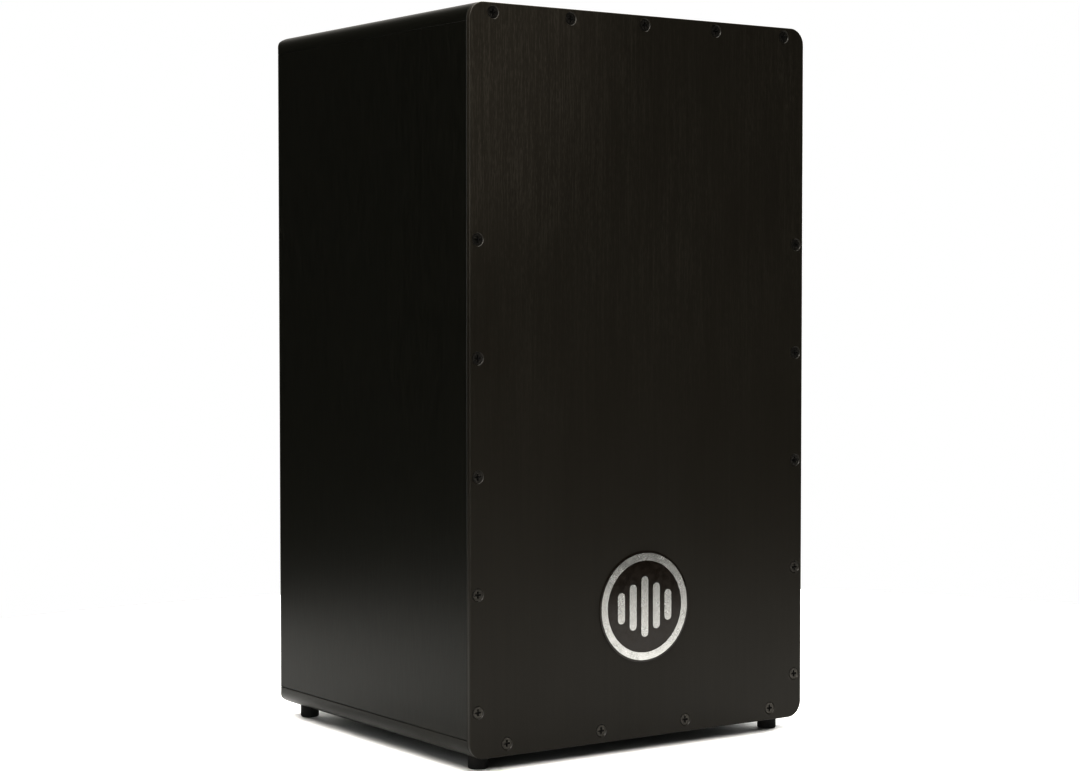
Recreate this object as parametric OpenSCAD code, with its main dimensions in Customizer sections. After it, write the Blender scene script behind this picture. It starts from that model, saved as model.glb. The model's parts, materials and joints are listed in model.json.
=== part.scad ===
// Cajon: a box drum that is sat on and played on its thin front plate, with snare wires
// behind the plate and a sound port in the back.
// The origin is on the surface that the feet stand on, under the middle of the cabinet.
// The playing plate faces -Y, +X is to the right of someone facing it, and +Z is up.

/* [Cabinet] */
// Overall width
body_w = 279; // [240:1:340]
// Overall depth, from the front of the playing plate to the back
body_d = 257; // [210:1:320]
// Height of the cabinet above its feet
body_h = 483; // [430:1:580]
// Thickness of the side, seat and bottom panels
panel_t = 12.5; // [10:0.5:16]
// Radius of the edges that run from front to back
edge_r = 11; // [5:0.5:13]
// Radius of the edges round the back
rear_r = 6; // [2:0.5:7]
// Depth of the V groove along each joint between two panels
joint_groove = 0.3; // [0.1:0.1:0.6]

/* [Playing plate] */
// Thickness of the playing plate
plate_t = 3.5; // [2.5:0.5:6]
// Radius that its front edge is eased to
plate_ease = 0.8; // [0.3:0.1:1.2]

/* [Plate screws] */
// Diameter of a screw head
screw_head_d = 7.5; // [6:0.5:9]
// Diameter of a screw shank
screw_d = 3.5; // [2.5:0.5:4.5]
// Length of a screw, head included
screw_len = 24; // [16:1:32]
// Depth of a head below the face of the plate
screw_sink = 0.4; // [0:0.05:0.5]
// Screws in the row along the top
top_screws = 5; // [3:1:7]
// Distance from the side of the plate to the last screw of the top row
top_screw_inset = 18.2; // [16:0.1:30]
// Distance from the side of the plate to the last screw of the bottom row
bottom_screw_inset = 28.5; // [16:0.1:40]
// Distance between the two middle screws of the bottom row
bottom_screw_mid = 71; // [50:1:90]
// Height of the bottom row above the middle of the bottom panel
bottom_screw_rise = 2; // [0:0.5:2]
// Screws in the column down each side
side_screws = 5; // [3:1:6]
// Height of the lowest side screw above the bottom of the cabinet
side_screw_first = 30.5; // [25:0.5:40]
// Distance between side screws
side_screw_pitch = 75.5; // [50:0.5:76]

/* [Back panel] */
// Thickness of the back panel
back_t = 6; // [4:0.5:9]
// Depth that its edges are let into the other panels
rabbet = 4.5; // [3:0.5:5]
// Clearance round the edges of the back panel
back_gap = 0.1; // [0:0.05:0.3]
// Diameter of the sound port
port_d = 115; // [80:1:140]
// Height of the port's centre above the bottom of the cabinet
port_z = 275; // [150:1:330]
// Radius that the port's outer edge is eased to
port_ease = 2; // [0.5:0.5:3]

/* [Corner joints] */
// Diameter of a dowel
dowel_d = 6; // [4:1:7]
// Length of a dowel
dowel_len = 30; // [20:1:40]
// Depth of a dowel in the seat or bottom panel
dowel_sink = 8; // [5:0.5:9]
// Distance from an end of the joint to its first dowel
dowel_inset = 45; // [35:1:60]
// Side of a glue block
block_leg = 18; // [10:1:30]
// Distance from a glue block to the front and back of the cabinet's frame
block_inset = 40; // [20:1:60]

/* [Feet] */
// Diameter of a foot
foot_d = 13; // [11:0.5:24]
// Height of a foot
foot_h = 9; // [6:0.5:16]
// Distance from the sides of the cabinet to a foot's centre
foot_inset = 17; // [14:0.5:40]
// Diameter of the head of a foot's screw
foot_screw_head = 6; // [5:0.5:7]
// Diameter of the screw's shank
foot_screw_d = 3; // [2.5:0.5:3.5]
// Depth of the screw in the bottom panel
foot_screw_grip = 8.5; // [5:0.5:9]

/* [Badge] */
// Diameter of the badge
badge_d = 75; // [50:1:90]
// Height of its centre above the bottom of the cabinet
badge_z = 88.5; // [60:0.5:140]
// Distance from the badge's rim to its ring
badge_rim = 1.4; // [0.5:0.1:3]
// Width of the ring
ring_w = 5.2; // [3:0.1:10]
// Thickness of the adhesive
adhesive_t = 0.15; // [0.1:0.05:0.5]
// Thickness of the badge's plate
badge_t = 0.4; // [0.3:0.1:1.5]
// Height of the ring and bars above the plate
relief_t = 0.2; // [0.1:0.05:0.5]
// Number of bars in the badge's pattern
bars = 5; // [3:2:7]
// Width of a bar
bar_w = 6; // [2:0.5:7]
// Gap between two bars
bar_gap = 3.8; // [1:0.2:4]
// Height of the middle bar
bar_h = 41; // [20:1:44]
// How much shorter each next bar is
bar_step = 10; // [4:0.5:12]

/* [Snare] */
// Diameter of the wooden bar that carries the snare wires
rod_d = 22; // [18:1:28]
// Height of the bar's axis above the bottom of the cabinet
rod_z = 335; // [200:1:340]
// Distance from the bar's axis to the inside of the playing plate
rod_setback = 26; // [22:1:45]
// Depth of the flats on the bar
rod_flat = 1.5; // [0.5:0.5:2.5]
// Gap between each end of the bar and the side panel
rod_end_gap = 1; // [0.5:0.5:3]
// Radial clearance between the bar and its bushes
rod_gap = 0.05; // [0.02:0.01:0.09]
// Wall of a bush
bush_wall = 3; // [2:0.5:5]
// Thickness of a bracket, and length of its bush
bracket_t = 18; // [12:1:30]
// Wood between the bush and the bracket's top and bottom
bracket_end = 13; // [11:0.5:20]
// Wood between the bush and the bracket's front and back
bracket_side = 6; // [4:0.5:7]
// Depth of a bracket screw in the side panel
bracket_grip = 8; // [5:0.5:9]
// Distance from the middle of the cabinet to the middle of a wire set
set_x = 62; // [40:1:75]
// Strands in a wire set
strands = 10; // [4:1:14]
// Distance between strands
strand_pitch = 4.4; // [3:0.1:4.8]
// Diameter of a strand
strand_d = 1.6; // [1:0.1:2.4]
// Height of a set's free end above the bar's axis
wire_reach = 115; // [70:1:116]
// Gap between the free ends and the playing plate
wire_gap = 0.4; // [0.3:0.1:3]
// Thickness of a set's steel end plates
clip_t = 1; // [0.6:0.1:1.5]
// Height of the end plate at the free ends
end_h = 8; // [5:0.5:12]

/* [Hidden] */
$fn = 96;

black = [0.09, 0.085, 0.08];
ply = [0.78, 0.62, 0.42];
beech = [0.83, 0.68, 0.48];
steel = [0.72, 0.73, 0.75];
zinc = [0.62, 0.62, 0.6];
rubber = [0.05, 0.05, 0.05];
silver = [0.85, 0.85, 0.86];
side = [-1, 1];
cut = 0.5;                       // how far a cut runs past the face it opens

// The badge stands proud, so half of it moves the cabinet back to keep the origin in the middle
badge_proud = adhesive_t + badge_t + relief_t;
face_y = badge_proud / 2 - body_d / 2;
back_y = face_y + body_d;
frame_y = face_y + plate_t;      // front of the panels, inside of the playing plate
frame_d = body_d - plate_t;
bottom_z = foot_h;
top_z = bottom_z + body_h;
in_w = body_w - 2 * panel_t;
in_h = body_h - 2 * panel_t;
mid_z = bottom_z + body_h / 2;
corner_r = min(edge_r, panel_t - 0.5);
back_r = min(rear_r, panel_t - rabbet - 0.5);

// Plate screws: pilot holes take the shank with a little room
pilot_gap = 0.05;
head_room = 0.3;                 // between a head and the edge of its countersink
head_flare = (screw_head_d - screw_d) / 2;
head_lip = 0.3;                  // straight edge of a countersunk head
recess_share = 0.6;              // width of a cross recess, as a share of its head's
// Depth of the countersink's cone, so that the head seats on it with room round its edge
countersink_z = screw_sink + head_lip - head_room;
panel_mid = panel_t / 2;
top_row = [for (i = [0:top_screws - 1])
    [(i / (top_screws - 1) - 0.5) * (body_w - 2 * top_screw_inset), top_z - panel_mid]];
bottom_row = [for (s = side, x = [bottom_screw_mid / 2, body_w / 2 - bottom_screw_inset])
    [s * x, bottom_z + panel_mid + bottom_screw_rise]];
side_columns = [for (s = side, i = [0:side_screws - 1])
    [s * (body_w / 2 - panel_mid), bottom_z + side_screw_first + i * side_screw_pitch]];

dowel_ys = [frame_y + dowel_inset, frame_y + frame_d / 2, back_y - dowel_inset];
foot_x = body_w / 2 - foot_inset;
foot_y = body_d / 2 - foot_inset;
foot_mid_y = (face_y + back_y) / 2;
foot_seat = foot_h / 3;          // rubber between the cabinet and the washer
foot_lip = 1;                    // rounding of a foot's lower edge
foot_head_t = 2;
washer_t = 0.8;

// Snare geometry, in the bar's own frame: its axis is X and the wires point up Z
rod_y = frame_y + rod_setback;
rod_axis_z = bottom_z + rod_z;
flat_y = rod_d / 2 - rod_flat;
clip_low = 5.5;                  // height of an end plate below the bar's axis
clip_high = 8;                   // height of an end plate above the bar's axis
strand_low = 1.8;                // lowest point of a strand
strand_y = flat_y + clip_t + strand_d / 2;
plate_margin = 1;                // end plate past the outer strands
set_w = (strands - 1) * strand_pitch + strand_d + 2 * plate_margin;
flat_w = set_w + 4 * plate_margin;
tip_y = strand_y + strand_d / 2;
// Lean that brings the free ends within wire_gap of the playing plate
lean = asin((rod_setback - wire_gap) / norm([tip_y, wire_reach])) - atan(tip_y / wire_reach);
clip_screw_x = strand_pitch * floor(strands / 3);
clip_screw_z = -1.5;
clip_screw_d = 2.5;
clip_screw_len = 10;
clip_hole_gap = 0.1;
clip_head_d = 5;
clip_head_t = 1.8;

bush_r = rod_d / 2 + rod_gap + bush_wall;
bracket_h = 2 * (bush_r + bracket_end);
bracket_d = 2 * (bush_r + bracket_side);
bracket_x = in_w / 2 - bracket_t;
bracket_screw_z = bush_r + bracket_end / 2;
bracket_screw_d = 3.5;
bracket_head_d = 7;

// ---- shapes that repeat ----

// Rectangle with round corners, centred
module round_rect(w, h, r) {
    square([w, h - 2 * r], center = true);
    square([w - 2 * r, h], center = true);
    for (x = side, y = side)
        translate([x * (w / 2 - r), y * (h / 2 - r)]) circle(r);
}

// Rectangle from [0, 0] to [w, h], with the corner at [w, h] round
module one_round_corner(w, h, r) {
    intersection() {
        union() {
            square([w - r, h]);
            square([w, h - r]);
            translate([w - r, h - r]) circle(r);
        }
        square([w, h]);
    }
}

// A 2D outline in X and Z, extruded from the plane y towards +Y
module extrude_y(y, depth) {
    translate([0, y + depth, 0]) rotate([90, 0, 0]) linear_extrude(depth) children();
}

// A hole along Y that opens at the plane y and runs towards +Y
module hole_y(x, y, z, d, depth) {
    translate([x, y - cut, z]) rotate([-90, 0, 0]) cylinder(d = d, h = depth + cut);
}

// The cross recess of a screw head, cut down from the origin
module cross_recess(width, slot, depth) {
    for (turn = [0, 90])
        rotate([0, 0, turn]) translate([-width / 2, -slot / 2, -depth]) cube([width, slot, depth + cut]);
}

// A countersunk screw along -Z, its head's face at the origin, with a pointed end
module countersunk_screw(head, d, length) {
    flare = (head - d) / 2;
    difference() {
        rotate_extrude()
            polygon([[0, 0], [head / 2, 0], [head / 2, -head_lip], [d / 2, -head_lip - flare],
                     [d / 2, d - length], [0, -length]]);
        cross_recess(head * recess_share, d / 3, flare);
    }
}

// A pan-head screw along -Z, its head's seat at the origin
module pan_screw(head, head_h, d, length) {
    difference() {
        union() {
            cylinder(d = head, h = head_h);
            translate([0, 0, -length]) cylinder(d = d, h = length);
        }
        translate([0, 0, head_h]) cross_recess(head * recess_share, d / 4, head_h * recess_share);
    }
}

// The cut that eases the front edge of a plate: the waste outside a quarter circle
module ease_waste(r) {
    difference() {
        translate([-r, -r]) square(r + cut);
        translate([-r, -r]) circle(r);
        translate([-r - cut, -r - cut]) square([cut, r + cut]);
        translate([-r - cut, -r - cut]) square([r + cut, cut]);
    }
}

// The outline of a V groove, centred on the edge that it follows
module groove() {
    rotate(45) square(joint_groove * sqrt(2), center = true);
}

// Lays a 2D shape along the playing plate's outline in the plane y.
// Its X runs outwards and its Y to the front.
module along_outline(y) {
    r = corner_r;
    for (s = side) {
        translate([s * body_w / 2, y, mid_z - body_h / 2 + r]) mirror([s < 0 ? 1 : 0, 0, 0])
            linear_extrude(body_h - 2 * r) mirror([0, 1]) children();
        translate([-body_w / 2 + r, y, mid_z + s * body_h / 2]) mirror([0, 0, s < 0 ? 1 : 0])
            rotate([90, 0, 90]) linear_extrude(body_w - 2 * r) mirror([1, 0]) children();
        for (up = side)
            translate([s * (body_w / 2 - r), y, mid_z + up * (body_h / 2 - r)])
                mirror([s < 0 ? 1 : 0, 0, 0]) mirror([0, 0, up < 0 ? 1 : 0]) rotate([90, 0, 0])
                    rotate_extrude(angle = 90) translate([r, 0]) children();
    }
}

// The grooves where the side panels meet the seat and bottom panels, round the sides and back
module panel_grooves() {
    for (z = [bottom_z + panel_t, top_z - panel_t]) {
        for (s = side) {
            translate([s * body_w / 2, frame_y - cut, z]) rotate([-90, 0, 0])
                linear_extrude(frame_d - back_r + cut) groove();
            translate([s * (body_w / 2 - back_r), back_y - back_r, z]) mirror([s < 0 ? 1 : 0, 0, 0])
                rotate_extrude(angle = 90) translate([back_r, 0]) groove();
        }
        translate([-body_w / 2 + back_r, back_y, z]) rotate([90, 0, 90])
            linear_extrude(body_w - 2 * back_r) groove();
    }
}

module at_plate_screws(places) {
    for (p = places) translate([p[0], face_y, p[1]]) children();
}

module plate_pilots(places) {
    for (p = places)
        hole_y(p[0], frame_y, p[1], screw_d + 2 * pilot_gap, screw_len + screw_sink - plate_t);
}

module at_corner_dowels() {
    for (s = side, y = dowel_ys) translate([s * (body_w / 2 - panel_mid), y, 0]) children();
}

// The dowels of one joint level; up = 1 at the seat, -1 at the bottom panel
module dowels_at(up) {
    joint_z = up > 0 ? top_z - panel_t : bottom_z + panel_t;
    at_corner_dowels()
        translate([0, 0, up > 0 ? joint_z + dowel_sink - dowel_len : joint_z - dowel_sink])
            cylinder(d = dowel_d, h = dowel_len);
}

module back_pocket() {
    translate([-in_w / 2 - rabbet, back_y - back_t, bottom_z + panel_t - rabbet])
        cube([in_w + 2 * rabbet, back_t + cut, in_h + 2 * rabbet]);
}

// ---- cabinet ----

module side_panel(s) {
    color(black) difference() {
        translate([s * in_w / 2, frame_y, bottom_z + panel_t]) mirror([s < 0 ? 1 : 0, 0, 0])
            linear_extrude(in_h) one_round_corner(panel_t, frame_d, back_r);
        back_pocket();
        panel_grooves();
        along_outline(frame_y) groove();
        plate_pilots(side_columns);
        dowels_at(1);
        dowels_at(-1);
        for (up = side)
            translate([s * (in_w / 2 - cut), rod_y, rod_axis_z + up * bracket_screw_z])
                rotate([0, s * 90, 0]) cylinder(d = bracket_screw_d, h = bracket_grip + cut);
    }
}

// The seat or bottom panel: it runs over the ends of the side panels
module end_panel(up) {
    translate([0, 0, up > 0 ? top_z - panel_t : bottom_z + panel_t]) mirror([0, 0, up > 0 ? 0 : 1])
        intersection() {
            extrude_y(frame_y, frame_d) for (s = side)
                mirror([s < 0 ? 1 : 0, 0]) one_round_corner(body_w / 2, panel_t, corner_r);
            translate([0, frame_y, -cut]) linear_extrude(panel_t + 2 * cut) for (s = side)
                mirror([s < 0 ? 1 : 0, 0]) one_round_corner(body_w / 2, frame_d, back_r);
            translate([-body_w / 2 - cut, frame_y, 0]) rotate([90, 0, 90])
                linear_extrude(body_w + 2 * cut) one_round_corner(frame_d, panel_t, back_r);
        }
}

module seat_panel() {
    color(black) difference() {
        end_panel(1);
        back_pocket();
        panel_grooves();
        along_outline(frame_y) groove();
        plate_pilots(top_row);
        dowels_at(1);
    }
}

module bottom_panel() {
    color(black) difference() {
        end_panel(-1);
        back_pocket();
        panel_grooves();
        along_outline(frame_y) groove();
        plate_pilots(bottom_row);
        dowels_at(-1);
        at_feet() translate([0, 0, -cut]) cylinder(d = foot_screw_d, h = foot_screw_grip + cut);
    }
}

module back_panel() {
    w = in_w + 2 * rabbet - 2 * back_gap;
    h = in_h + 2 * rabbet - 2 * back_gap;
    color(black) difference() {
        translate([-w / 2, back_y - back_t, mid_z - h / 2]) cube([w, back_t, h]);
        hole_y(0, back_y - back_t, bottom_z + port_z, port_d, back_t + cut);
        translate([0, back_y, bottom_z + port_z]) rotate([-90, 0, 0]) rotate_extrude()
            difference() {
                translate([0, -port_ease]) square([port_d / 2 + port_ease, port_ease + cut]);
                translate([port_d / 2 + port_ease, -port_ease]) circle(port_ease);
            }
    }
}

module playing_plate() {
    color(black) difference() {
        translate([0, 0, mid_z]) extrude_y(face_y, plate_t) round_rect(body_w, body_h, corner_r);
        along_outline(face_y) ease_waste(plate_ease);
        along_outline(frame_y) groove();
        at_plate_screws(concat(top_row, bottom_row, side_columns)) rotate([-90, 0, 0])
            rotate_extrude() polygon([
                [0, -cut], [screw_head_d / 2 + head_room + countersink_z + cut, -cut],
                [screw_d / 2 + head_room, countersink_z + head_flare],
                [screw_d / 2 + head_room, plate_t + cut], [0, plate_t + cut]]);
    }
}

module plate_screws() {
    color(black) at_plate_screws(concat(top_row, bottom_row, side_columns))
        translate([0, screw_sink, 0]) rotate([90, 0, 0])
            countersunk_screw(screw_head_d, screw_d, screw_len);
}

module corner_dowels() {
    color(beech) {
        dowels_at(1);
        dowels_at(-1);
    }
}

module glue_block(s, up) {
    z = up > 0 ? top_z - panel_t : bottom_z + panel_t;
    color(beech) extrude_y(frame_y + block_inset, frame_d - 2 * block_inset)
        translate([s * in_w / 2, z]) polygon([[0, 0], [-s * block_leg, 0], [0, -up * block_leg]]);
}

// ---- feet ----

module at_feet() {
    for (x = side, y = side) translate([x * foot_x, foot_mid_y + y * foot_y, bottom_z]) children();
}

module foot(x, y) {
    color(rubber) translate([x * foot_x, foot_mid_y + y * foot_y, 0]) difference() {
        rotate_extrude() {
            translate([0, foot_lip]) square([foot_d / 2, foot_h - foot_lip]);
            square([foot_d / 2 - foot_lip, foot_lip * 2]);
            translate([foot_d / 2 - foot_lip, foot_lip]) circle(foot_lip);
        }
        translate([0, 0, -cut]) cylinder(d = foot_screw_d + 2 * head_room, h = foot_h + 2 * cut);
        translate([0, 0, -cut]) cylinder(d = foot_screw_head + 2 * head_room, h = foot_h - foot_seat + cut);
    }
}

module foot_washers() {
    color(zinc) at_feet() translate([0, 0, -foot_seat - washer_t]) difference() {
        cylinder(d = foot_screw_head + head_room, h = washer_t);
        translate([0, 0, -cut]) cylinder(d = foot_screw_d + head_room, h = washer_t + 2 * cut);
    }
}

module foot_screws() {
    color(zinc) at_feet() translate([0, 0, -foot_seat - washer_t]) mirror([0, 0, 1])
        pan_screw(foot_screw_head, foot_head_t, foot_screw_d, foot_seat + washer_t + foot_screw_grip);
}

// ---- badge ----

// A layer of the badge between two depths in front of the playing plate
module badge_layer(from, to) {
    translate([0, 0, bottom_z + badge_z]) extrude_y(face_y - to, to - from) children();
}

module badge_adhesive() {
    color(ply) badge_layer(0, adhesive_t) circle(d = badge_d - 2 * badge_rim);
}

module badge_plate() {
    color(black) badge_layer(adhesive_t, adhesive_t + badge_t) circle(d = badge_d);
}

module badge_ring() {
    color(silver) badge_layer(adhesive_t + badge_t, badge_proud) difference() {
        circle(d = badge_d - 2 * badge_rim);
        circle(d = badge_d - 2 * badge_rim - 2 * ring_w);
    }
}

module badge_bars() {
    middle = (bars - 1) / 2;
    color(silver) badge_layer(adhesive_t + badge_t, badge_proud)
        for (i = [0:bars - 1])
            translate([(i - middle) * (bar_w + bar_gap), 0]) {
                straight = bar_h - bar_step * abs(i - middle) - bar_w;
                square([bar_w, straight], center = true);
                for (end = side) translate([0, end * straight / 2]) circle(d = bar_w);
            }
}

// ---- snare ----

module rod_bracket(s) {
    color(beech) difference() {
        translate([s * (bracket_x + bracket_t / 2), rod_y, rod_axis_z])
            cube([bracket_t, bracket_d, bracket_h], center = true);
        translate([s * (bracket_x - cut), rod_y, rod_axis_z]) rotate([0, s * 90, 0])
            cylinder(r = bush_r, h = bracket_t + 2 * cut);
        at_bracket_screws(s) {
            translate([0, 0, -bracket_t - cut]) cylinder(d = bracket_screw_d, h = bracket_t + 2 * cut);
            bracket_countersink();
        }
    }
}

// Places the heads' faces, with -Z pointing into the bracket
module at_bracket_screws(s) {
    for (up = side)
        translate([s * bracket_x, rod_y, rod_axis_z + up * bracket_screw_z])
            rotate([0, -s * 90, 0]) children();
}

module bracket_countersink() {
    low = head_lip + (bracket_head_d - bracket_screw_d) / 2;
    rotate_extrude() polygon([
        [0, cut], [bracket_head_d / 2, cut], [bracket_head_d / 2, -head_lip],
        [bracket_screw_d / 2, -low], [0, -low]]);
}

module bracket_screws() {
    color(zinc) for (s = side)
        at_bracket_screws(s)
            countersunk_screw(bracket_head_d, bracket_screw_d, bracket_t + bracket_grip);
}

module rod_bush(s) {
    color(rubber) translate([s * bracket_x, rod_y, rod_axis_z]) rotate([0, s * 90, 0]) difference() {
        cylinder(r = bush_r, h = bracket_t);
        translate([0, 0, -cut]) cylinder(r = rod_d / 2 + rod_gap, h = bracket_t + 2 * cut);
    }
}

// The bar's own frame, leaned so that the wires reach the playing plate
module in_rod_frame() {
    translate([0, rod_y, rod_axis_z]) rotate([lean, 0, 0]) children();
}

module at_clip_screws() {
    for (s = side, x = side)
        translate([s * set_x + x * clip_screw_x, -flat_y, clip_screw_z]) rotate([90, 0, 0]) children();
}

module snare_rod() {
    length = in_w - 2 * rod_end_gap;
    color(beech) in_rod_frame() difference() {
        translate([-length / 2, 0, 0]) rotate([0, 90, 0]) cylinder(d = rod_d, h = length);
        for (s = side)
            translate([s * set_x - flat_w / 2, -rod_d, -rod_d]) cube([flat_w, rod_d - flat_y, 2 * rod_d]);
        at_clip_screws() translate([0, 0, clip_t - clip_screw_len])
            cylinder(d = clip_screw_d, h = clip_screw_len + cut);
    }
}

module snare_wires(s) {
    color(steel) in_rod_frame()
        for (i = [0:strands - 1])
            translate([s * set_x + (i - (strands - 1) / 2) * strand_pitch, -strand_y, strand_low])
                cylinder(d = strand_d, h = wire_reach - strand_low, $fn = 24);
}

// A steel plate behind the strands, from one height to another
module strand_plate(s, low, high) {
    translate([s * set_x - set_w / 2, -flat_y - clip_t, low]) cube([set_w, clip_t, high - low]);
}

module snare_clip(s) {
    color(steel) in_rod_frame() difference() {
        strand_plate(s, -clip_low, clip_high);
        at_clip_screws() translate([0, 0, -cut])
            cylinder(d = clip_screw_d + 2 * clip_hole_gap, h = clip_t + 2 * cut);
    }
}

module snare_end(s) {
    color(steel) in_rod_frame() strand_plate(s, wire_reach - end_h, wire_reach);
}

module clip_screws() {
    color(zinc) in_rod_frame() at_clip_screws() translate([0, 0, clip_t])
        pan_screw(clip_head_d, clip_head_t, clip_screw_d, clip_screw_len);
}

side_panel(-1);  // left_panel
side_panel(1);  // right_panel
seat_panel();
bottom_panel();
back_panel();
playing_plate();
plate_screws();
corner_dowels();
glue_block(-1, 1);  // top_left_glue_block
glue_block(1, 1);  // top_right_glue_block
glue_block(-1, -1);  // bottom_left_glue_block
glue_block(1, -1);  // bottom_right_glue_block
foot(-1, -1);  // front_left_foot
foot(1, -1);  // front_right_foot
foot(-1, 1);  // back_left_foot
foot(1, 1);  // back_right_foot
foot_washers();
foot_screws();
badge_adhesive();
badge_plate();
badge_ring();
badge_bars();
rod_bracket(-1);  // left_rod_bracket
rod_bracket(1);  // right_rod_bracket
rod_bush(-1);  // left_rod_bush
rod_bush(1);  // right_rod_bush
bracket_screws();
snare_rod();
snare_wires(-1);  // left_snare_wires
snare_wires(1);  // right_snare_wires
snare_clip(-1);  // left_snare_clip
snare_clip(1);  // right_snare_clip
snare_end(-1);  // left_snare_end
snare_end(1);  // right_snare_end
clip_screws();
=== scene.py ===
import json
import math

import bmesh
import bpy
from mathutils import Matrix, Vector


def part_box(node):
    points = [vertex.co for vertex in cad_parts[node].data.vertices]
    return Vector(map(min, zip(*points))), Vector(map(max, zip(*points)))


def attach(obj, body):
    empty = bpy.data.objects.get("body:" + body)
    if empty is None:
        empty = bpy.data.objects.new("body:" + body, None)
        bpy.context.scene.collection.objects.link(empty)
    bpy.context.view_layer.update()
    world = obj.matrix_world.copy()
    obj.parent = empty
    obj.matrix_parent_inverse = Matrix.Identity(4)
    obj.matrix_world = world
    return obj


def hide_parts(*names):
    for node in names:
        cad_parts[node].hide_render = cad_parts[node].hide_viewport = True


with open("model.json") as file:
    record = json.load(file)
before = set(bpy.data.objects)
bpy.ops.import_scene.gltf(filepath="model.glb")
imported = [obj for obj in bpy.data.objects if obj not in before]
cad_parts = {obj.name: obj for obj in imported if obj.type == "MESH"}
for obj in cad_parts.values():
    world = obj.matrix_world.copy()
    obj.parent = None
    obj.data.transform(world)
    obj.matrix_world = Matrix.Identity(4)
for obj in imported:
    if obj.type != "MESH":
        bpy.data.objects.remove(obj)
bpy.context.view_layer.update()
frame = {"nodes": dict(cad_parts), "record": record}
NODES = frame["nodes"]
scene = bpy.context.scene
MM = 0.001

# ---------------------------------------------------------------- camera
CAMERA_PLACE = Vector((-0.9269, -1.3365, 0.3056))
CAMERA_LOOK = Vector((0.57110, 0.81994, -0.03919))
CAMERA_LENS = 75.86
SENSOR_WIDTH = 36.0
CLIP_NEAR = 0.05
CLIP_FAR = 50


def make_camera():
    data = bpy.data.cameras.new("camera")
    data.lens = CAMERA_LENS
    data.sensor_width = SENSOR_WIDTH
    data.clip_start = CLIP_NEAR
    data.clip_end = CLIP_FAR
    cam = bpy.data.objects.new("camera", data)
    scene.collection.objects.link(cam)
    cam.location = CAMERA_PLACE
    cam.rotation_mode = "QUATERNION"
    cam.rotation_quaternion = CAMERA_LOOK.to_track_quat("-Z", "Y")
    scene.camera = cam


# ---------------------------------------------------------------- node helpers
# A Mix node's sockets: its share, then the inputs and result of its colour and number forms
MIX_SHARE = 0
COLOUR_A, COLOUR_B, COLOUR_OUT = 6, 7, 2
NUMBER_A, NUMBER_B, NUMBER_OUT = 2, 3, 0


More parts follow.
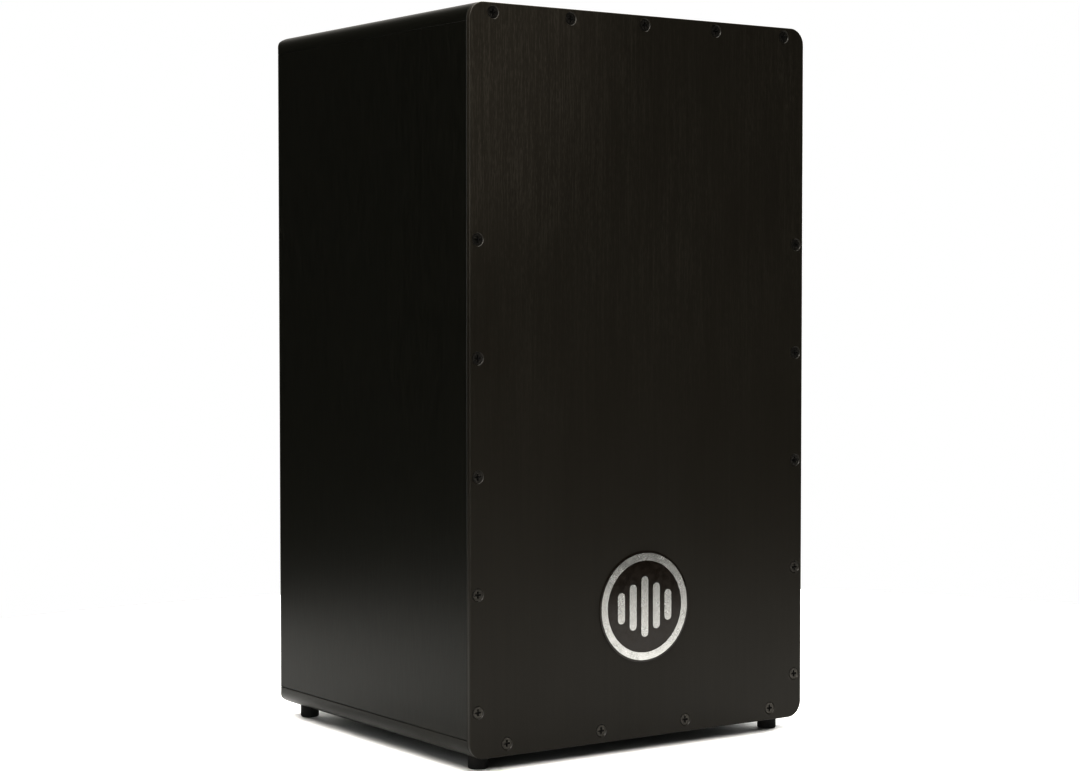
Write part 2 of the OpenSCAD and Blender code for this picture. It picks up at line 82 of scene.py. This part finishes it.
class Shader:
    """A material with one Principled shader, and short ways to add nodes to it."""

    def __init__(self, name):
        self.mat = bpy.data.materials.new(name)
        self.mat.use_nodes = True
        self.tree = self.mat.node_tree
        self.bsdf = self.tree.nodes["Principled BSDF"]
        self.object_place = self.add("ShaderNodeTexCoord").outputs["Object"]
        parts = self.add("ShaderNodeSeparateXYZ")
        self.feed(parts.inputs[0], self.object_place)
        self.x, self.y, self.z = parts.outputs

    def add(self, kind, **settings):
        node = self.tree.nodes.new(kind)
        for key, value in settings.items():
            setattr(node, key, value)
        return node

    def feed(self, socket, value):
        if isinstance(value, bpy.types.NodeSocket):
            self.tree.links.new(value, socket)
        else:
            socket.default_value = value

    def set(self, **values):
        """Sets the shader's own sockets; a word's underscores stand for spaces."""
        for key, value in values.items():
            self.feed(self.bsdf.inputs[key.replace("_", " ")], value)

    def scaled(self, scale):
        node = self.add("ShaderNodeMapping")
        self.feed(node.inputs["Vector"], self.object_place)
        node.inputs["Scale"].default_value = scale
        return node.outputs["Vector"]

    def noise(self, scale, detail, roughness=0.5, distortion=0.0):
        """Noise from 0 to 1, with a scale in features per metre along X, Y and Z."""
        node = self.add("ShaderNodeTexNoise")
        self.feed(node.inputs["Vector"], self.scaled(scale))
        node.inputs["Scale"].default_value = 1.0
        node.inputs["Detail"].default_value = detail
        node.inputs["Roughness"].default_value = roughness
        node.inputs["Distortion"].default_value = distortion
        return node.outputs[0]

    def math(self, operation, a, b):
        node = self.add("ShaderNodeMath", operation=operation)
        self.feed(node.inputs[0], a)
        self.feed(node.inputs[1], b)
        return node.outputs[0]

    def product(self, *factors):
        total = factors[0]
        for factor in factors[1:]:
            total = self.math("MULTIPLY", total, factor)
        return total

    def spread(self, value, low, high, out_low=0.0, out_high=1.0):
        """Maps value from low..high to out_low..out_high, smoothly and clamped."""
        node = self.add("ShaderNodeMapRange", interpolation_type="SMOOTHSTEP")
        for index, item in enumerate((value, low, high, out_low, out_high)):
            self.feed(node.inputs[index], item)
        return node.outputs[0]

    def within(self, value, low, high):
        """1 where the value is between low and high, and 0 elsewhere."""
        above = self.math("GREATER_THAN", value, low)
        below = self.math("LESS_THAN", value, high)
        return self.product(above, below)

    def patch(self, centre, radii):
        """1 at the centre, fading to 0 at the surface of an ellipsoid with those radii."""
        squares = 0.0
        for place, middle, radius in zip((self.x, self.y, self.z), centre, radii):
            share = self.math("MULTIPLY", self.math("SUBTRACT", place, middle), 1 / radius)
            squares = self.math("ADD", self.math("MULTIPLY", share, share), squares)
        return self.spread(squares, 0.0, 1.0, 1.0, 0.0)

    def inside_cabinet(self):
        """1 on the faces round the hollow of the cabinet, and 0 elsewhere."""
        spans = zip((self.x, self.y, self.z), INSIDE_LO, INSIDE_HI)
        return self.product(*(
            self.within(place, low - SKIN, high + SKIN) for place, low, high in spans
        ))

    def mix(self, share, a, b):
        """Mixes two colours."""
        node = self.add("ShaderNodeMix", data_type="RGBA")
        self.feed(node.inputs[MIX_SHARE], share)
        for index, colour in ((COLOUR_A, a), (COLOUR_B, b)):
            linked = isinstance(colour, bpy.types.NodeSocket)
            self.feed(node.inputs[index], colour if linked else (*colour, 1.0))
        return node.outputs[COLOUR_OUT]

    def blend(self, share, a, b):
        """Mixes two numbers."""
        node = self.add("ShaderNodeMix", data_type="FLOAT")
        for index, item in ((MIX_SHARE, share), (NUMBER_A, a), (NUMBER_B, b)):
            self.feed(node.inputs[index], item)
        return node.outputs[NUMBER_OUT]

    def bump(self, height, depth, strength):
        """A bump of that depth in metres."""
        node = self.add("ShaderNodeBump")
        node.inputs["Strength"].default_value = strength
        node.inputs["Distance"].default_value = depth
        self.feed(node.inputs["Height"], height)
        return node.outputs[0]


def dress(node, material):
    """Puts a material in every slot of a CAD node."""
    slots = NODES[node].material_slots
    if not slots:
        NODES[node].data.materials.append(material)
    for slot in slots:
        slot.material = material


# ---------------------------------------------------------------- stage and light
FLOOR_RADIUS = 0.79
FLOOR_MIDDLE = (0.045, -0.06, 0)
FLOOR_SIDES = 128
FLOOR_WHITE = (0.8, 0.805, 0.8, 1.0)
BACKDROP_AHEAD = Vector((CAMERA_LOOK.x, CAMERA_LOOK.y, 0)).normalized()
BACKDROP_WHITE = (1.1, 1.07, 1.03, 1.0)
BACKDROP_FULL = math.radians(30)  # the backdrop is at its palest within this angle of ahead
BACKDROP_GONE = math.radians(48)  # and ends at this one
ROOM_DIM = (0.042, 0.041, 0.032, 1.0)
WHITE = (1.0, 1.0, 1.0)
WARM = (1.0, 0.98, 0.95)
WARMER = (1.0, 0.97, 0.93)
GAMMA = 0.7  # deepens the blacks, as the catalogue picture does


def make_floor():
    bpy.ops.mesh.primitive_circle_add(
        vertices=FLOOR_SIDES, radius=FLOOR_RADIUS, location=FLOOR_MIDDLE, fill_type="NGON"
    )
    floor = bpy.context.object
    floor.name = "floor"
    shader = Shader("floor_white")
    shader.set(Base_Color=FLOOR_WHITE, Roughness=0.9, Specular_IOR_Level=0.2)
    floor.data.materials.append(shader.mat)


def make_area_light(name, place, target, size, power, colour=WHITE, reflected=True):
    """A lamp of that power in watts. The camera never sees it, and reflections may."""
    data = bpy.data.lights.new(name, "AREA")
    data.shape = "RECTANGLE"
    data.size, data.size_y = size
    data.energy = power
    data.color = colour
    light = bpy.data.objects.new(name, data)
    scene.collection.objects.link(light)
    light.location = place
    ahead = Vector(target) - Vector(place)
    light.rotation_euler = ahead.to_track_quat("-Z", "Y").to_euler()
    light.visible_camera = False
    light.visible_glossy = reflected


def make_world():
    """White to the camera. To other rays, a dim room with a pale backdrop behind the object."""
    world = bpy.data.worlds.new("studio")
    scene.world = world
    world.use_nodes = True
    tree = world.node_tree
    tree.nodes.clear()
    new, link = tree.nodes.new, tree.links.new
    ahead = new("ShaderNodeVectorMath")
    ahead.operation = "DOT_PRODUCT"
    link(new("ShaderNodeTexCoord").outputs["Generated"], ahead.inputs[0])
    ahead.inputs[1].default_value = BACKDROP_AHEAD
    backdrop = new("ShaderNodeMapRange")
    backdrop.interpolation_type = "SMOOTHSTEP"
    link(ahead.outputs["Value"], backdrop.inputs["Value"])
    backdrop.inputs["From Min"].default_value = math.cos(BACKDROP_GONE)
    backdrop.inputs["From Max"].default_value = math.cos(BACKDROP_FULL)
    room = new("ShaderNodeMix")
    room.data_type = "RGBA"
    link(backdrop.outputs[0], room.inputs[MIX_SHARE])
    room.inputs[COLOUR_A].default_value = ROOM_DIM
    room.inputs[COLOUR_B].default_value = BACKDROP_WHITE
    dim = new("ShaderNodeBackground")
    link(room.outputs[COLOUR_OUT], dim.inputs["Color"])
    white = new("ShaderNodeBackground")
    white.inputs["Color"].default_value = (*WHITE, 1.0)
    seen = new("ShaderNodeMixShader")
    link(new("ShaderNodeLightPath").outputs["Is Camera Ray"], seen.inputs[0])
    link(dim.outputs[0], seen.inputs[1])
    link(white.outputs[0], seen.inputs[2])
    link(seen.outputs[0], new("ShaderNodeOutputWorld").inputs[0])


make_camera()
make_floor()
make_world()
make_area_light("overhead", (0.0, 0.1, 2.3), (0, 0, 0), (2.2, 2.2), 130, WARM)
make_area_light("key_box", (-1.15, -1.65, 1.75), (0, 0, 0.1), (1.0, 1.0), 75, WARMER)
make_area_light("left_box", (-1.7, -1.2, 0.5), (0, 0, 0.3), (0.35, 1.5), 22)
make_area_light("right_box", (1.9, 0.5, 0.9), (0.1, 0, 0.25), (1.0, 1.2), 40)
make_area_light("sweep", (1.3, 1.9, 0.6), (0, 0, 0.05), (2.6, 0.8), 130, WARM, reflected=False)
scene.view_settings.view_transform = "Standard"
scene.view_settings.gamma = GAMMA


# ---------------------------------------------------------------- where the surfaces are
SKIN = 0.2 * MM  # how far the bare inside reaches past the hollow's walls, to take in their faces
PLATE_LO, PLATE_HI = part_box("playing_plate")
INSIDE_LO = Vector((
    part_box("left_panel")[1].x,
    PLATE_HI.y,
    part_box("bottom_panel")[1].z,
))
INSIDE_HI = Vector((
    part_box("right_panel")[0].x,
    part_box("back_panel")[0].y,
    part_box("seat_panel")[0].z,
))


# ---------------------------------------------------------------- materials
def raw_wood(shader, scale, light=(0.46, 0.30, 0.16), dark=(0.26, 0.15, 0.07)):
    """Colour, roughness and bump height of bare wood, its grain along the smallest scale."""
    rings = shader.noise(tuple(0.08 * s for s in scale), detail=4, roughness=0.55, distortion=0.4)
    fibres = shader.noise(scale, detail=3)
    colour = shader.mix(shader.spread(rings, 0.3, 0.7), light, dark)
    deep = tuple(0.6 * c for c in dark)
    colour = shader.mix(shader.spread(fibres, 0.45, 0.75, 0.0, 0.45), colour, deep)
    return colour, shader.spread(fibres, 0.3, 0.7, 0.55, 0.75), fibres


def along_axis(axis, across, along):
    """A noise scale for grain that runs along one axis."""
    return tuple(along if index == axis else across for index in range(3))


SATIN_DARK = (0.0062, 0.0062, 0.0044)
SATIN_LIGHT = (0.0098, 0.0096, 0.0072)
SATIN_ROUGH = 0.295
WORN_COLOUR = (0.030, 0.029, 0.025)
WORN_ROUGH = 0.6
WORN_RADII = (0.03, 0.11, 0.022)  # round the front left bottom corner


def black_satin(name="black_satin", grain_axis=2):
    """Satin black paint outside and bare plywood inside, with the grain along one axis."""
    shader = Shader(name)
    inside = shader.inside_cabinet()
    wood, wood_rough, wood_height = raw_wood(shader, along_axis(grain_axis, 300, 30))
    mottle = shader.noise((30, 30, 22), detail=5, roughness=0.6)
    orange_peel = shader.noise((420, 420, 420), detail=2)
    scuff_and_sheen = shader.patch((PLATE_LO.x, PLATE_HI.y, PLATE_LO.z), WORN_RADII)
    grain = shader.noise(along_axis(grain_axis, 1300, 60), detail=3)
    paint = shader.mix(shader.spread(grain, 0.4, 0.65), SATIN_DARK, SATIN_LIGHT)
    height = shader.blend(0.35, orange_peel, grain)
    worn = shader.product(scuff_and_sheen, shader.spread(mottle, 0.35, 0.65, 0.3, 1.0))
    paint = shader.mix(worn, paint, WORN_COLOUR)
    rough = shader.blend(worn, SATIN_ROUGH, WORN_ROUGH)
    shader.set(Base_Color=shader.mix(inside, paint, wood))
    shader.set(Roughness=shader.blend(inside, rough, wood_rough))
    shader.set(Specular_IOR_Level=0.17)
    shader.set(Normal=shader.bump(shader.blend(inside, height, wood_height), 0.03 * MM, 0.3))
    return shader.mat


STAIN_DARK = (0.0136, 0.0119, 0.0088)
STAIN_LIGHT = (0.0155, 0.0137, 0.0103)
# Pale pore streaks: the grain's pores, drawn paler higher up the plate as a painted sheen of the
# light from above
PORE_SHEEN_COLOUR = (0.036, 0.033, 0.026)
PORE_SHEEN_START = 0.12  # the height where the painted sheen on the pores begins
PORE_SHEEN_FULL = 0.36  # and where it is at its full strength
# A painted sheen: paler grain round the plate's top left corner, a painted highlight of the light
# from above
SHEEN_PATCH_DARK = (0.026, 0.023, 0.018)
SHEEN_PATCH_LIGHT = (0.042, 0.038, 0.031)
SHEEN_PATCH_RADII = (0.14, 0.1, 0.20)  # a painted sheen round the plate's top left corner


def black_plate():
    """Black stain on open-pored veneer with the grain upright, bare on the inner face."""
    shader = Shader("black_plate")
    inside = shader.inside_cabinet()
    wood, wood_rough, wood_height = raw_wood(shader, (400, 400, 25))
    short = shader.noise((1500, 1500, 200), detail=2)
    long = shader.noise((1200, 1200, 22), detail=3, roughness=0.6)
    pores = shader.spread(shader.blend(0.55, short, long), 0.46, 0.62)
    columns = shader.noise((420, 420, 9), detail=4, roughness=0.6)
    bands = shader.noise((25, 25, 9), detail=4, roughness=0.6)
    # Painted sheen: the pale pores fade in with height
    above = shader.spread(shader.z, PORE_SHEEN_START, PORE_SHEEN_FULL)
    corner = shader.patch((PLATE_LO.x, PLATE_LO.y, PLATE_HI.z), SHEEN_PATCH_RADII)
    stain = shader.mix(shader.spread(columns, 0.25, 0.75), STAIN_DARK, STAIN_LIGHT)
    pore_sheen = shader.product(pores, above, shader.spread(bands, 0.3, 0.7, 0.15, 0.45))
    stain = shader.mix(pore_sheen, stain, PORE_SHEEN_COLOUR)
    # Painted sheen round the top left corner, broken up by the grain's pores and columns
    sheen_patch_colour = shader.mix(pores, SHEEN_PATCH_DARK, SHEEN_PATCH_LIGHT)
    scuff_and_sheen = shader.product(corner, shader.spread(columns, 0.3, 0.7, 0.65, 0.9))
    stain = shader.mix(scuff_and_sheen, stain, sheen_patch_colour)
    rough = shader.spread(bands, 0.2, 0.8, 0.30, 0.36)
    shader.set(Base_Color=shader.mix(inside, stain, wood))
    shader.set(Roughness=shader.blend(inside, rough, wood_rough))
    shader.set(Specular_IOR_Level=0.23)
    height = shader.math("SUBTRACT", 1.0, pores)
    shader.set(Normal=shader.bump(shader.blend(inside, height, wood_height), 0.02 * MM, 0.3))
    return shader.mat


def black_screw():
    shader = Shader("black_screw")
    wear = shader.noise((900, 900, 900), detail=4, roughness=0.6)
    black, bare = (0.05, 0.047, 0.042), (0.17, 0.16, 0.145)
    shader.set(Base_Color=shader.mix(shader.spread(wear, 0.5, 0.8), black, bare))
    shader.set(Metallic=0.8)
    shader.set(Roughness=shader.spread(wear, 0.3, 0.7, 0.28, 0.40))
    shader.set(Normal=shader.bump(wear, 0.02 * MM, 0.4))
    return shader.mat


def raw_beech():
    shader = Shader("raw_beech")
    light, dark, fleck = (0.55, 0.36, 0.20), (0.36, 0.21, 0.10), (0.24, 0.12, 0.05)
    colour, rough, height = raw_wood(shader, (35, 420, 420), light, dark)
    flecks = shader.spread(shader.noise((160, 900, 900), detail=1), 0.62, 0.72)
    shader.set(Base_Color=shader.mix(shader.product(flecks, 0.5), colour, fleck))
    shader.set(Roughness=rough)
    shader.set(Normal=shader.bump(height, 0.04 * MM, 0.5))
    return shader.mat


def rubber():
    shader = Shader("rubber")
    fine = shader.noise((1500, 1500, 1500), detail=3)
    dust = shader.noise((120, 120, 120), detail=4)
    black, dusty = (0.010, 0.010, 0.0095), (0.028, 0.026, 0.023)
    shader.set(Base_Color=shader.mix(shader.spread(dust, 0.45, 0.8), black, dusty))
    shader.set(Roughness=shader.spread(fine, 0.3, 0.7, 0.68, 0.85))
    shader.set(Specular_IOR_Level=0.3)
    shader.set(Normal=shader.bump(fine, 0.03 * MM, 0.4))
    return shader.mat


ROUGHER = 0.14  # how much rougher the roughest spots of a metal are than its smoothest


def metal(name, dark, light, scale, rough):
    """A bare or plated metal: its colour and roughness follow noise of that scale."""
    shader = Shader(name)
    marks = shader.noise(scale, detail=4, roughness=0.6)
    shader.set(Base_Color=shader.mix(shader.spread(marks, 0.3, 0.7), dark, light))
    shader.set(Metallic=1.0)
    shader.set(Roughness=shader.spread(marks, 0.25, 0.75, rough, rough + ROUGHER))
    shader.set(Normal=shader.bump(marks, 0.02 * MM, 0.3))
    return shader.mat


def zinc():
    return metal("zinc", (0.42, 0.42, 0.40), (0.62, 0.62, 0.58), (260, 260, 260), 0.30)


def steel():
    return metal("steel", (0.45, 0.45, 0.46), (0.62, 0.62, 0.63), (60, 900, 900), 0.22)


def silver_foil():
    """Silver foil whose fine flakes lie at slightly different angles, so that it sparkles."""
    shader = Shader("silver_foil")
    flakes = shader.noise((4200, 4200, 4200), detail=1)
    cloud = shader.noise((150, 150, 150), detail=3)
    dull, bright = (0.31, 0.31, 0.305), (0.54, 0.54, 0.53)
    shader.set(Base_Color=shader.mix(shader.spread(flakes, 0.35, 0.65), dull, bright))
    shader.set(Metallic=1.0)
    shader.set(Roughness=shader.spread(cloud, 0.3, 0.7, 0.22, 0.28))
    shader.set(Normal=shader.bump(flakes, 0.02 * MM, 0.4))
    return shader.mat


def badge_black():
    shader = Shader("badge_black")
    haze = shader.noise((220, 220, 220), detail=4, roughness=0.6)
    black, hazed = (0.009, 0.0064, 0.0042), (0.014, 0.0098, 0.0064)
    shader.set(Base_Color=shader.mix(shader.spread(haze, 0.3, 0.8), black, hazed))
    shader.set(Roughness=shader.spread(haze, 0.3, 0.7, 0.10, 0.17))
    shader.set(Specular_IOR_Level=0.4)
    return shader.mat


def adhesive():
    shader = Shader("adhesive")
    cloud = shader.noise((200, 200, 200), detail=4)
    dark, light = (0.48, 0.44, 0.36), (0.60, 0.56, 0.48)
    shader.set(Base_Color=shader.mix(shader.spread(cloud, 0.3, 0.7), dark, light))
    shader.set(Roughness=shader.spread(cloud, 0.3, 0.7, 0.5, 0.65))
    return shader.mat


MATERIALS = {
    make.__name__: make()
    for make in (
        black_satin, black_plate, black_screw, raw_beech, rubber,
        zinc, steel, silver_foil, badge_black, adhesive,
    )
}
for part in frame["record"]["subparts"]:
    dress(part["node"], MATERIALS[part["material_slot"]])
level_satin = black_satin("black_satin_level", grain_axis=0)
for node in ("seat_panel", "bottom_panel"):
    dress(node, level_satin)


# ---------------------------------------------------------------- snare wires
STRANDS = 10
STRAND_RADIUS = 0.8 * MM
WIRE_RADIUS = 0.15 * MM
COIL_PITCH = 1.7 * MM
COIL_STEPS = 10
WIRE_SIDES = 4


def strand_ends(lo, hi):
    """The lower and upper end of a strand's axis, in Y and Z, from the leaning strands' box."""
    lean = math.atan2(hi.y - lo.y - 2 * STRAND_RADIUS, hi.z - lo.z)
    across, along = STRAND_RADIUS * math.cos(lean), STRAND_RADIUS * math.sin(lean)
    return Vector((0, hi.y - across, lo.z + along)), Vector((0, lo.y + across, hi.z - along))


def add_coil(mesh, foot, tip):
    """Adds one coiled wire round the line from foot to tip to a bmesh."""
    along = (tip - foot).normalized()
    side = Vector((1, 0, 0))
    out = along.cross(side)
    coil_radius = STRAND_RADIUS - WIRE_RADIUS
    steps = round((tip - foot).length / COIL_PITCH) * COIL_STEPS
    rings = []
    for step in range(steps + 1):
        turn = 2 * math.pi * step / COIL_STEPS
        radial = side * math.cos(turn) + out * math.sin(turn)
        centre = foot + (tip - foot) * (step / steps) + radial * coil_radius
        ring = []
        for corner in range(WIRE_SIDES):
            angle = 2 * math.pi * corner / WIRE_SIDES
            outward = radial * math.cos(angle) + along * math.sin(angle)
            ring.append(mesh.verts.new(centre + outward * WIRE_RADIUS))
        rings.append(ring)
    for low, high in zip(rings, rings[1:]):
        for corner in range(WIRE_SIDES):
            after = (corner + 1) % WIRE_SIDES
            mesh.faces.new((low[corner], low[after], high[after], high[corner]))
    mesh.faces.new(rings[0])
    mesh.faces.new(reversed(rings[-1]))


def make_snare_coils(node):
    lo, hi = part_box(node)
    foot, tip = strand_ends(lo, hi)
    coils = bmesh.new()
    first, last = lo.x + STRAND_RADIUS, hi.x - STRAND_RADIUS
    for strand in range(STRANDS):
        shift = Vector((first + (last - first) * strand / (STRANDS - 1), 0, 0))
        add_coil(coils, foot + shift, tip + shift)
    bmesh.ops.recalc_face_normals(coils, faces=coils.faces)
    mesh = bpy.data.meshes.new(node + "_coils")
    coils.to_mesh(mesh)
    coils.free()
    for face in mesh.polygons:
        face.use_smooth = True
    mesh.materials.append(MATERIALS["steel"])
    piece = bpy.data.objects.new(node + "_coils", mesh)
    scene.collection.objects.link(piece)
    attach(piece, "snare")
    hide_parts(node)


make_snare_coils("left_snare_wires")
make_snare_coils("right_snare_wires")
